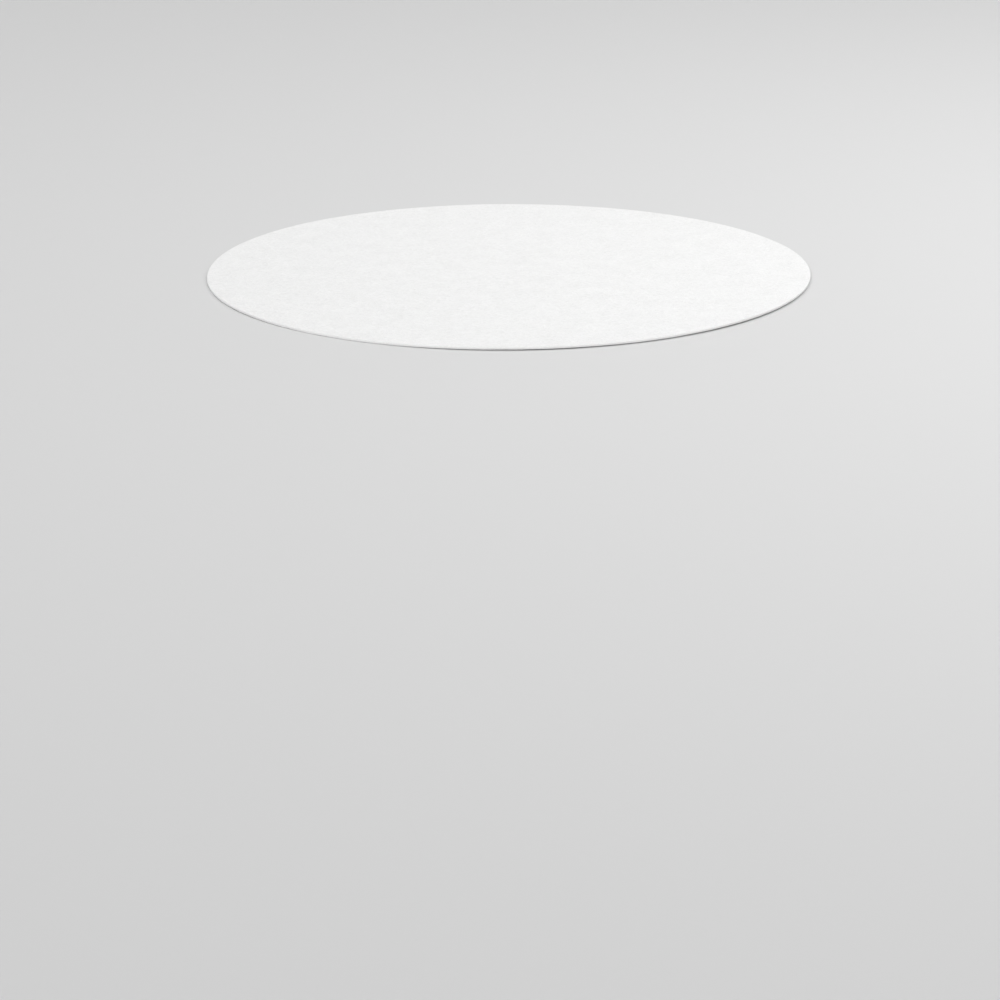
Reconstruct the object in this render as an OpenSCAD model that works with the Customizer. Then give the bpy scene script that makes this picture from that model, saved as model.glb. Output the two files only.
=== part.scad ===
// Filter paper disc: one flat round sheet of plain filter paper, stamped out with a die.
// Units are millimetres and +Z is up. The origin is the centre of the underside,
// the face that lies on a funnel's plate, in a holder or on the bench.

/* [Sheet] */
// Diameter of the disc, which matches the plate or holder that it covers
disc_d = 55; // [25:0.5:150]
// Thickness of the paper
paper_t = 0.2; // [0.14:0.01:0.5]

/* [Cut edge] */
// Radius of the upper rim, where the die presses the fibres down before it cuts
press_r = 0.06; // [0.03:0.01:0.08]
// Radius of the lower rim, where the die breaks out of the sheet
exit_r = 0.03; // [0.02:0.01:0.05]

/* [Hidden] */

disc_r = disc_d / 2;
rim_fn = 48;
disc_fn = 180;
paper_white = [0.95, 0.95, 0.94];

// The waste outside a rounded corner of radius r, with the corner itself at the origin
// and the sheet towards -X and -Y.
module corner_waste(r) {
    translate([-r, -r])
        difference() {
            square(r);
            circle(r, $fn = rim_fn);
        }
}

// Half of the sheet's section, from its axis out to the cut edge, with the upper face at +Y.
module sheet_section() {
    difference() {
        square([disc_r, paper_t]);
        translate([disc_r, paper_t])
            corner_waste(press_r);
        translate([disc_r, 0])
            mirror([0, 1])
                corner_waste(exit_r);
    }
}

module filter_disc() {
    color(paper_white)
        rotate_extrude($fn = disc_fn)
            sheet_section();
}

filter_disc();
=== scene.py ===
# Looks of a filter paper disc: one die-cut sheet that lies flat, with its floor, light and camera.
import math
import bpy
import numpy as np
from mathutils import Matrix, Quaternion, Vector


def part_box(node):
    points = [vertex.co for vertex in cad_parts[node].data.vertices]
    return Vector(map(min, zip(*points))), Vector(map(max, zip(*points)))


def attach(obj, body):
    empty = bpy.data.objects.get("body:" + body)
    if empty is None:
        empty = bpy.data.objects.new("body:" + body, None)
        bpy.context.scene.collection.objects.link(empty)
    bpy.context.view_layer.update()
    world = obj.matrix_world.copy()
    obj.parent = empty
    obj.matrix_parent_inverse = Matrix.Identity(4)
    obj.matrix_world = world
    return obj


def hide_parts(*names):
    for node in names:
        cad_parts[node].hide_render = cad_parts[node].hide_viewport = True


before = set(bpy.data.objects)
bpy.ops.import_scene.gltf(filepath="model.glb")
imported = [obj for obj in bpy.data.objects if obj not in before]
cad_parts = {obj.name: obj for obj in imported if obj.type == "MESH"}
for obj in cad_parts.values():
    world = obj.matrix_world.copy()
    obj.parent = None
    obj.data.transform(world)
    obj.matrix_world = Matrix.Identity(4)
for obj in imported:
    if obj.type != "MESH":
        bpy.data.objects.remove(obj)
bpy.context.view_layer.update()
discLow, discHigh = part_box("filter_disc")
discRadius = max(discHigh.x, discHigh.y)
paperThickness = discHigh.z - discLow.z
millimetre = 0.001
micrometre = 0.001 * millimetre
print("frame:", *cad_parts, "radius", round(discRadius, 5), "thickness", round(paperThickness, 5))

# What a user would change about the sheet
filterSheet = {
    "cellsAcross": 192,                         # squares across each face
    "pressRadius": 60 * micrometre,             # upper rim, pressed down by the die
    "exitRadius": 30 * micrometre,              # lower rim, where the die breaks out
    "roundSteps": 6,                            # steps round each rim
    "wallSteps": 3,                             # steps down the cut wall
    "rimBand": 300 * micrometre,                # flat band that joins the face to the rim
    "rimLedge": 100 * micrometre,               # outer part of that band, a strip of its own
    "cockleHeight": 22 * micrometre,            # slow waves from drying
    "cockleWaves": (11 * millimetre, 34 * millimetre),      # shortest and longest of them
    "cockleCount": 18,
    "rimLift": 80 * micrometre,                 # how far the rim bends up at its two high places
    "rimLiftTurn": -0.78,                       # where the first of them is, in radians round from +X
    "rimLiftPower": 4,                          # the higher, the nearer to the rim the bend begins
    "flocHeight": 6 * micrometre,               # thick and thin spots where the fibres clotted
    "flocWaves": (1.2 * millimetre, 4.0 * millimetre),
    "flocCount": 70,
    "cutRoughness": 9 * micrometre,             # how far fibre ends stand out of the cut wall
    "cutWaves": (60, 250),                      # fewest and most waves of it round the rim
    "cutCount": 36,
    "cutDrift": 1.5,                            # how far they slide from floor to face, in radians of a wave
    "mapMargin": 1.01,                          # room round the disc in the bake's map
    "seed": 23,
}


def waveField(x, y, limits, count, seed):
    # Sum of count cosine waves with random heading, phase and a wavelength between the limits,
    # divided so that most of it lies between -1 and 1
    draw = np.random.default_rng(seed)
    shortest, longest = limits
    length = shortest * (longest / shortest) ** draw.random(count)
    heading = 2 * np.pi * draw.random(count)
    phase = 2 * np.pi * draw.random(count)
    rateX = 2 * np.pi * np.cos(heading) / length
    rateY = 2 * np.pi * np.sin(heading) / length
    waves = np.cos(x[..., None] * rateX + y[..., None] * rateY + phase)
    return waves.sum(-1) / math.sqrt(2 * count)


def sheetLift(x, y):
    # Height of the sheet above a flat one: slow cockle, plus a rim that bends up twice round the disc
    # and grows with a power of the distance from the middle
    cockle = waveField(x, y, filterSheet["cockleWaves"], filterSheet["cockleCount"], filterSheet["seed"])
    share = np.hypot(x, y) / discRadius
    twice = 0.5 + 0.5 * np.cos(2 * (np.arctan2(y, x) - filterSheet["rimLiftTurn"]))
    bend = filterSheet["rimLift"] * twice * share ** filterSheet["rimLiftPower"]
    return filterSheet["cockleHeight"] * cockle + bend


def flocRelief(x, y):
    # Half of the change in thickness: clotted fibres in spots a few millimetres wide
    floc = waveField(x, y, filterSheet["flocWaves"], filterSheet["flocCount"], filterSheet["seed"] + 1)
    return filterSheet["flocHeight"] * floc


def squareToDisc(cells):
    # A square grid drawn into a disc: each square ring of the grid becomes a circle, so the longer of
    # the two grid coordinates is the radius and the shorter one's share of it gives the angle
    line = np.linspace(-1, 1, cells + 1)
    gridX, gridY = np.meshgrid(line, line, indexing="ij")
    wide = np.abs(gridX) > np.abs(gridY)
    reach = np.where(wide, gridX, gridY)
    share = np.where(wide, gridY, gridX) / np.where(reach == 0, 1, reach)
    angle = np.where(wide, share, 2 - share) * np.pi / 4
    return (reach * np.cos(angle)).ravel(), (reach * np.sin(angle)).ravel()


def rimLoop(cells):
    # Numbers of the grid's outermost points, counter-clockwise from the low corner
    step = np.arange(cells)
    row = cells + 1
    return np.concatenate([
        step * row,
        cells * row + step,
        (cells - step) * row + cells,
        cells - step,
    ])


def cutSection():
    # Section of the cut edge from the upper face to the lower one, as distances in from the full radius
    # and heights: a quarter circle, a straight wall and a smaller quarter circle, with a ledge at each end
    press = filterSheet["pressRadius"]
    leave = filterSheet["exitRadius"]
    ledge = filterSheet["rimLedge"]
    turn = np.linspace(0, np.pi / 2, filterSheet["roundSteps"] + 1)
    wall = np.linspace(paperThickness - press, leave, filterSheet["wallSteps"] + 1)[1:-1]
    inset = np.concatenate([
        [press + ledge],
        press * (1 - np.sin(turn)),
        0 * wall,
        leave * (1 - np.cos(turn)),
        [leave + ledge],
    ])
    height = np.concatenate([
        [paperThickness],
        paperThickness - press * (1 - np.cos(turn)),
        wall,
        leave * (1 - np.sin(turn)),
        [0],
    ])
    return inset, height


def cutWaver(angle, height):
    # How far fibre ends push the wall out: cosine waves round the rim that drift sideways with height
    draw = np.random.default_rng(filterSheet["seed"] + 2)
    count = filterSheet["cutCount"]
    fewest, most = filterSheet["cutWaves"]
    times = draw.integers(fewest, most, count)
    phase = 2 * np.pi * draw.random(count)
    drift = draw.normal(0, filterSheet["cutDrift"], count)
    level = height[:, None, None] / paperThickness
    waves = np.cos(angle[None, :, None] * times + phase + level * drift)
    return filterSheet["cutRoughness"] * waves.sum(-1) / math.sqrt(2 * count)


def ringPoints(reach, angle):
    # Points of rings round the middle: each row of reach is one ring's distances, all at the same angles
    return (reach * np.cos(angle)).ravel(), (reach * np.sin(angle)).ravel()


def ringFaces(inner, outer):
    # Squares between two loops of vertex numbers
    return np.stack([inner, outer, np.roll(outer, -1), np.roll(inner, -1)], 1)


def sheetFaces(cells, ringCount):
    # Squares of the upper face, of each strip down the cut edge and of the lower face. The vertices are
    # numbered in that order: the upper face's grid, the rings one after the other, the lower face's grid
    loop = rimLoop(cells)
    number = np.arange((cells + 1) ** 2).reshape(cells + 1, cells + 1)
    square = np.stack([number[:-1, :-1], number[1:, :-1], number[1:, 1:], number[:-1, 1:]], -1)
    # A square splits into triangles along the line from its first corner to its third. So that this line
    # points away from the disc's middle, squares in two quarters of the grid start one corner earlier
    fromMiddle = np.arange(cells) - (cells - 1) / 2
    earlier = np.outer(fromMiddle, fromMiddle) < 0
    square[earlier] = np.roll(square[earlier], 1, 1)
    upper = square.reshape(-1, 4)
    rings = number.size + np.arange(ringCount * len(loop)).reshape(ringCount, len(loop))
    lowerStart = number.size + rings.size
    lower = lowerStart + upper[:, [0, 3, 2, 1]]             # the other way round from the same first corner
    loops = [loop, *rings, lowerStart + loop]
    strips = [ringFaces(inner, outer) for inner, outer in zip(loops[:-1], loops[1:])]
    return upper, strips, lower


def makeFilterSheet():
    # A grid on each face, joined by rings that carry the cut section round the rim. Every point rises with
    # the sheet's lift, and the two faces part or close in by the relief of the clotted fibres
    cells = filterSheet["cellsAcross"]
    loop = rimLoop(cells)
    faceRadius = discRadius - filterSheet["pressRadius"] - filterSheet["rimBand"]
    unitX, unitY = squareToDisc(cells)
    faceX = unitX * faceRadius
    faceY = unitY * faceRadius
    angle = np.arctan2(faceY[loop], faceX[loop])
    inset, height = cutSection()
    onWall = np.clip(1 - inset / filterSheet["pressRadius"], 0, 1)
    reach = discRadius - inset[:, None] + onWall[:, None] * cutWaver(angle, height)
    ringX, ringY = ringPoints(reach, angle)
    onRings = slice(len(faceX), len(faceX) + len(ringX))    # the cut edge's place among all the vertices

    x = np.concatenate([faceX, ringX, faceX])
    y = np.concatenate([faceY, ringY, faceY])
    z = np.concatenate([0 * faceX + paperThickness, np.repeat(height, len(loop)), 0 * faceX])
    side = 2 * z / paperThickness - 1                       # 1 on the upper face and -1 on the lower
    z = z + sheetLift(x, y) + side * flocRelief(x, y)
    z = z - z.min()                                         # the lowest places touch the floor
    upper, strips, lower = sheetFaces(cells, len(inset))
    faces = np.concatenate([upper, *strips, lower])
    mesh = bpy.data.meshes.new("filter_sheet")
    mesh.from_pydata(np.stack([x, y, z], 1), [], faces)
    mesh.polygons.foreach_set("use_smooth", np.ones(len(faces), bool))

    # The bake's map: the upper face with the cut edge laid flat round it, and the lower face over the upper,
    # because the paper's pattern is the same on both
    along = np.concatenate([[0], np.cumsum(np.hypot(np.diff(inset), np.diff(height)))])
    mapReach = discRadius - inset[0] + along
    flat = np.stack([x, y], 1)
    unrolled = flat.copy()
    unrolled[onRings] = np.stack(ringPoints(mapReach[:, None], angle), 1)
    corners = np.concatenate([
        unrolled[np.concatenate([upper, *strips[:-1]]).ravel()],
        flat[np.concatenate([strips[-1], lower]).ravel()],
    ])
    mapWidth = 2 * filterSheet["mapMargin"] * mapReach[-1]
    bakeMap = mesh.uv_layers.new(name="OFBake")
    bakeMap.uv.foreach_set("vector", (0.5 + corners / mapWidth).astype(np.float32).ravel())

    cutEdge = np.zeros(len(x), np.float32)                  # 1 on the cut wall, for the paper's material
    cutEdge[onRings] = np.repeat(onWall, len(loop))
    mesh.attributes.new("cutEdge", "FLOAT", "POINT").data.foreach_set("value", cutEdge)
    mesh.validate()
    sheet = bpy.data.objects.new("filter_sheet", mesh)
    bpy.context.scene.collection.objects.link(sheet)
    print("sheet:", len(x), "vertices,", 2 * len(faces), "triangles, highest", round(float(z.max()), 6))
    return sheet


class ShaderValue:
    # One output socket of a node tree. Arithmetic on it adds Math nodes, and node adds any other kind.
    def __init__(self, tree, socket=None):
        self.tree = tree
        self.socket = socket

    def node(self, kind, settings, inputs, output=0):
        made = self.tree.nodes.new(kind)
        for name, value in settings.items():
            setattr(made, name, value)
        for name, value in inputs.items():
            if isinstance(value, ShaderValue):
                self.tree.links.new(value.socket, made.inputs[name])
            else:
                made.inputs[name].default_value = value
        return ShaderValue(self.tree, made.outputs[output] if made.outputs else None)

    def other(self, output):                    # another output of the same node
        return ShaderValue(self.tree, self.socket.node.outputs[output])

    def math(self, operation, *values):
        return self.node("ShaderNodeMath", {"operation": operation}, dict(enumerate(values)))

    def vector(self, operation, value):         # a vector with another vector
        return self.node("ShaderNodeVectorMath", {"operation": operation}, {0: self, 1: value})

    def __add__(self, value):
        return self.math("ADD", self, value)

    def __radd__(self, value):
        return self.math("ADD", value, self)

    def __sub__(self, value):
        return self.math("SUBTRACT", self, value)

    def __rsub__(self, value):
        return self.math("SUBTRACT", value, self)

    def __mul__(self, value):
        return self.math("MULTIPLY", self, value)

    def __rmul__(self, value):
        return self.math("MULTIPLY", value, self)

    def __abs__(self):
        return self.math("ABSOLUTE", self)

    def centred(self):                          # a value from 0 to 1, moved to lie either side of 0
        return self - 0.5

    def smooth(self, zeroAt, oneAt):            # 0 to 1 with soft ends
        inputs = {"Value": self, "From Min": zeroAt, "From Max": oneAt}
        return self.node("ShaderNodeMapRange", {"interpolation_type": "SMOOTHSTEP"}, inputs)

    def blend(self, low, high):                 # from one colour to another, a Mix node's inputs 6 and 7
        return self.node("ShaderNodeMix", {"data_type": "RGBA"}, {0: self, 6: low, 7: high}, 2)

    def turned(self, angle):                    # a vector, turned about Z
        inputs = {"Vector": self, "Angle": angle}
        return self.node("ShaderNodeVectorRotate", {"rotation_type": "Z_AXIS"}, inputs)

    def flatNoise(self, size=1.0, detail=0.0):  # noise over X and Y
        inputs = {"Vector": self, "Scale": 1 / size, "Detail": detail}
        return self.node("ShaderNodeTexNoise", {"noise_dimensions": "2D"}, inputs)


def emptyTree(owner):                           # where the nodes of a material or a world start
    owner.use_nodes = True
    owner.node_tree.nodes.clear()
    return ShaderValue(owner.node_tree)


def strongest(values):                          # the largest of them at each place
    most = values[0]
    for value in values[1:]:
        most = most.math("MAXIMUM", most, value)
    return most


# What a user would change about the paper. Lengths are in millimetres and relief is in micrometres.
filterPaper = {
    "paintedHollowShade": (0.700, 0.700, 0.695, 1),         # painted shade of the gaps between fibres
    "fibre": (0.915, 0.915, 0.913, 1),          # colour of the fibres on top
    "edgeShade": (0.730, 0.728, 0.722, 1),      # painted shade of the deepest fibres in the cut wall
    "edgeShare": 0.75,                          # how much of its own colour the cut wall has
    "cloudSize": 2.2,                           # clots of fibres
    "grainSize": 0.40,                          # small humps of the felted surface
    "detail": 2.0,                              # finer steps in the clots, the humps and the wall's layers
    "matSize": (1.10, 0.15),                    # length and width of the meshes between the mat's fibres
    "matTurns": (0.20, 0.75, 1.25, 1.80, 2.30, 2.85),       # directions of the mat's fibres in radians
    "matLine": (0.070, 0.012),                  # noise this far from its middle has no fibre, or a full one
    "lamella": (1.2, 0.020),                    # length and thickness of the layers in the cut wall
    "looseFibres": (                            # fibres that lie on top of the mat
        {"cell": 0.80, "halfLength": 0.46, "halfWidth": 0.020, "bend": 0.80, "layers": 2},
        {"cell": 1.80, "halfLength": 1.10, "halfWidth": 0.028, "bend": 0.35, "layers": 2},
    ),
    "looseCore": 0.25,                          # share of a loose fibre's width before it fades
    "looseEnds": 0.80,                          # share of its length before it fades
    "looseFaintest": 0.30,                      # strength of the weakest, where the strongest has 1
    "looseSecond": (0.31, 0.22),                # place of a cell's second fibre, in cells from the first
    "layerStart": (3.1, -5.7),                  # where the scatter of the loose fibres starts
    "layerStep": (17.3, 11.9),                  # and how far each layer's is from the last
    # grain, mat and loose also raise the relief, so their share is painted shade in the low places
    "tone": {"middle": 0.50, "cloud": 0.25, "grain": 0.35, "mat": 0.40, "loose": 0.35},
    "roughness": {"middle": 0.90, "grain": 0.08, "loose": -0.05},
    "relief": {"grain": 14.0, "mat": 2.0, "loose": 4.0, "wall": 14.0},
    "gloss": {"Specular IOR Level": 0.25, "Sheen Weight": 0.12, "Sheen Roughness": 0.5},
}


def fibreMat(place):
    # Thin lines where a noise that is stretched along one direction crosses its middle value,
    # and the strongest line over all the directions
    length, width = filterPaper["matSize"]
    noneAt, fullAt = filterPaper["matLine"]
    lines = []
    for turn in filterPaper["matTurns"]:
        stretched = place.turned(turn).vector("MULTIPLY", (1 / length, 1 / width, 0))
        lines.append(abs(stretched.flatNoise().centred()).smooth(noneAt, fullAt))
    return strongest(lines)


def fibreStroke(away, turn, bend, fibre):
    # A short curved line through the point that away is measured from: the distance across it grows with
    # the square of the distance along it, and it fades out to its sides and its ends
    along = away.node("ShaderNodeSeparateXYZ", {}, {"Vector": away.turned(2 * math.pi * turn)})
    across = abs(along.other("Y") + 2 * fibre["bend"] * bend.centred() * along * along)
    core = across.smooth(fibre["halfWidth"], filterPaper["looseCore"] * fibre["halfWidth"])
    ends = abs(along).smooth(fibre["halfLength"], filterPaper["looseEnds"] * fibre["halfLength"])
    return core * ends


def fibreLayer(place, fibre, layer):
    # Two fibres near each point of a scatter, turned, bent and weakened by the point's three chance numbers
    startX, startY = filterPaper["layerStart"]
    stepX, stepY = filterPaper["layerStep"]
    secondX, secondY = filterPaper["looseSecond"]
    faintest = filterPaper["looseFaintest"]
    cell = fibre["cell"]
    moved = place.vector("ADD", (startX + stepX * layer, startY + stepY * layer, 0))
    scatter = {"voronoi_dimensions": "2D", "feature": "F1"}
    chance = moved.node("ShaderNodeTexVoronoi", scatter, {"Vector": moved, "Scale": 1 / cell}, "Color")
    away = moved.vector("SUBTRACT", chance.other("Position"))
    further = away.vector("ADD", (secondX * cell, secondY * cell, 0))
    red = chance.node("ShaderNodeSeparateColor", {}, {"Color": chance})
    green = red.other("Green")
    blue = red.other("Blue")
    first = fibreStroke(away, red, green, fibre) * (faintest + (1 - faintest) * blue)
    second = fibreStroke(further, green, blue, fibre) * (faintest + (1 - faintest) * red)
    return strongest([first, second])


def makeFilterPaper():
    # The face's tone is a weighted sum of clots, humps, mat and loose fibres, and so is its relief.
    # The cut wall takes its tone and its relief from a noise drawn out into thin flat layers
    material = bpy.data.materials.new("filter_paper")
    metres = emptyTree(material).node("ShaderNodeTexCoord", {}, {}, "Object")
    place = metres.vector("MULTIPLY", 3 * (1 / millimetre,))
    cloud = place.flatNoise(filterPaper["cloudSize"], filterPaper["detail"])
    grain = place.flatNoise(filterPaper["grainSize"], filterPaper["detail"])
    mat = fibreMat(place)
    layers = []
    for fibre in filterPaper["looseFibres"]:
        for _ in range(fibre["layers"]):
            layers.append(fibreLayer(place, fibre, len(layers) + 1))
    loose = strongest(layers)
    cutEdge = place.node("ShaderNodeAttribute", {"attribute_name": "cutEdge"}, {}, "Fac")
    layerLength, layerThickness = filterPaper["lamella"]
    layered = place.vector("DIVIDE", (layerLength, layerLength, layerThickness))
    lamellaInputs = {"Vector": layered, "Scale": 1.0, "Detail": filterPaper["detail"]}
    lamella = layered.node("ShaderNodeTexNoise", {}, lamellaInputs)

    share = filterPaper["tone"]
    # Painted shade: the face darkens where humps, mat and loose fibres sit low; the clots are its own tone
    tone = share["middle"] + share["cloud"] * cloud.centred() + share["grain"] * grain.centred()
    tone = tone + share["mat"] * mat.centred() + share["loose"] * loose
    face = tone.blend(filterPaper["paintedHollowShade"], filterPaper["fibre"])
    # Painted shade: the cut wall is darker where its layers sink in, as its relief follows the same noise
    wall = lamella.blend(filterPaper["edgeShade"], filterPaper["fibre"])
    colour = (filterPaper["edgeShare"] * cutEdge).blend(face, wall)
    rough = filterPaper["roughness"]
    roughness = rough["middle"] + rough["grain"] * grain.centred() + rough["loose"] * loose
    relief = filterPaper["relief"]
    height = relief["grain"] * grain + relief["mat"] * mat + relief["loose"] * loose
    height = height + cutEdge * (relief["wall"] * lamella)
    bump = height.node("ShaderNodeBump", {}, {"Height": height, "Distance": micrometre, "Strength": 1.0})
    inputs = {"Base Color": colour, "Roughness": roughness, "Normal": bump, **filterPaper["gloss"]}
    shader = colour.node("ShaderNodeBsdfPrincipled", {}, inputs)
    shader.node("ShaderNodeOutputMaterial", {}, {"Surface": shader})
    print("paper:", len(material.node_tree.nodes), "nodes")
    return material


filterSheetPiece = makeFilterSheet()
filterSheetPiece.data.materials.append(makeFilterPaper())
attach(filterSheetPiece, "root")
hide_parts("filter_disc")

# What a user would change about the floor and the light. Lengths are in metres.
studio = {
    "floorHalf": 12.0,                          # from the disc to each side of the floor
    "floorFinish": {"Base Color": (0.67, 0.67, 0.67, 1), "Roughness": 0.7, "Specular IOR Level": 0.2},
    "skyHorizon": (0.518, 0.518, 0.518, 1),
    "skyTop": (0.354, 0.354, 0.354, 1),
    "skyTopFrom": 0.6,                          # height on a globe of radius 1 where the sky has its top tone
    "sunSpread": 50,                            # degrees across, so that shadows are soft
    "suns": {                                   # where each comes from, and its power
        "back_sun": ((-0.40, 0.78, 1.0), 0.938),
        "front_sun": ((-0.42, -0.81, 0.42), 1.25),
    },
    "softboxPlace": (0.13, 0, 0.17),            # over the right side, so that the paper is brighter there
    "softboxWidth": 0.20,
    "softboxPower": 0.241,
}


def makeFloor():
    half = studio["floorHalf"]
    corners = [(-half, -half, 0), (half, -half, 0), (half, half, 0), (-half, half, 0)]
    mesh = bpy.data.meshes.new("floor")
    mesh.from_pydata(corners, [], [(0, 1, 2, 3)])
    material = bpy.data.materials.new("pale_floor")
    shader = emptyTree(material).node("ShaderNodeBsdfPrincipled", {}, studio["floorFinish"])
    shader.node("ShaderNodeOutputMaterial", {}, {"Surface": shader})
    mesh.materials.append(material)
    floor = bpy.data.objects.new("floor", mesh)
    bpy.context.scene.collection.objects.link(floor)
    print("floor:", 2 * half, "m square")


def placeLight(name, light, place):             # it shines at the middle of the disc
    lightObject = bpy.data.objects.new(name, light)
    lightObject.location = place
    lightObject.rotation_euler = place.to_track_quat("Z", "Y").to_euler()
    bpy.context.scene.collection.objects.link(lightObject)


def makeLight():
    world = bpy.data.worlds.new("studio")
    bpy.context.scene.world = world
    direction = emptyTree(world).node("ShaderNodeTexCoord", {}, {}, "Generated")
    level = direction.node("ShaderNodeSeparateXYZ", {}, {"Vector": direction}, "Z")
    sky = level.smooth(0.0, studio["skyTopFrom"]).blend(studio["skyHorizon"], studio["skyTop"])
    light = sky.node("ShaderNodeBackground", {}, {"Color": sky, "Strength": 1.0})
    light.node("ShaderNodeOutputWorld", {}, {"Surface": light})

    for name, (comesFrom, power) in studio["suns"].items():
        sun = bpy.data.lights.new(name, "SUN")
        sun.energy = power
        sun.angle = math.radians(studio["sunSpread"])
        placeLight(name, sun, Vector(comesFrom))
    softbox = bpy.data.lights.new("softbox", "AREA")
    softbox.energy = studio["softboxPower"]
    softbox.size = studio["softboxWidth"]
    placeLight("softbox", softbox, Vector(studio["softboxPlace"]))
    print("light: sky,", len(studio["suns"]), "suns and a softbox")


# The photograph's view: the camera's place is an angle above the floor and a distance from the disc's middle,
# and it looks at a point on the floor in front of the disc, so the disc lies high in the picture
viewpoint = {
    "elevation": 13.758,                        # degrees
    "distance": 0.36328,                        # metres
    "aim": (-0.00073, -0.07070, 0),
    "roll": -0.30,                              # degrees
    "lens": 142.92,                             # millimetres
    "sensor": 36.0,
    "clip": (0.01, 100),                        # nearest and furthest that it sees, in metres
}


def makeCamera():
    camera = bpy.data.cameras.new("camera")
    camera.sensor_width = viewpoint["sensor"]
    camera.lens = viewpoint["lens"]
    camera.clip_start, camera.clip_end = viewpoint["clip"]
    rise = math.radians(viewpoint["elevation"])
    place = viewpoint["distance"] * Vector((0, -math.cos(rise), math.sin(rise)))
    looks = (Vector(viewpoint["aim"]) - place).to_track_quat("-Z", "Y")
    roll = Quaternion((0, 0, 1), math.radians(viewpoint["roll"]))
    cameraObject = bpy.data.objects.new("camera", camera)
    cameraObject.location = place
    cameraObject.rotation_euler = (looks @ roll).to_euler()
    bpy.context.scene.collection.objects.link(cameraObject)
    bpy.context.scene.camera = cameraObject
    print("camera:", [round(part, 4) for part in place])


makeFloor()
makeLight()
makeCamera()
bpy.context.scene.view_settings.view_transform = "Standard"
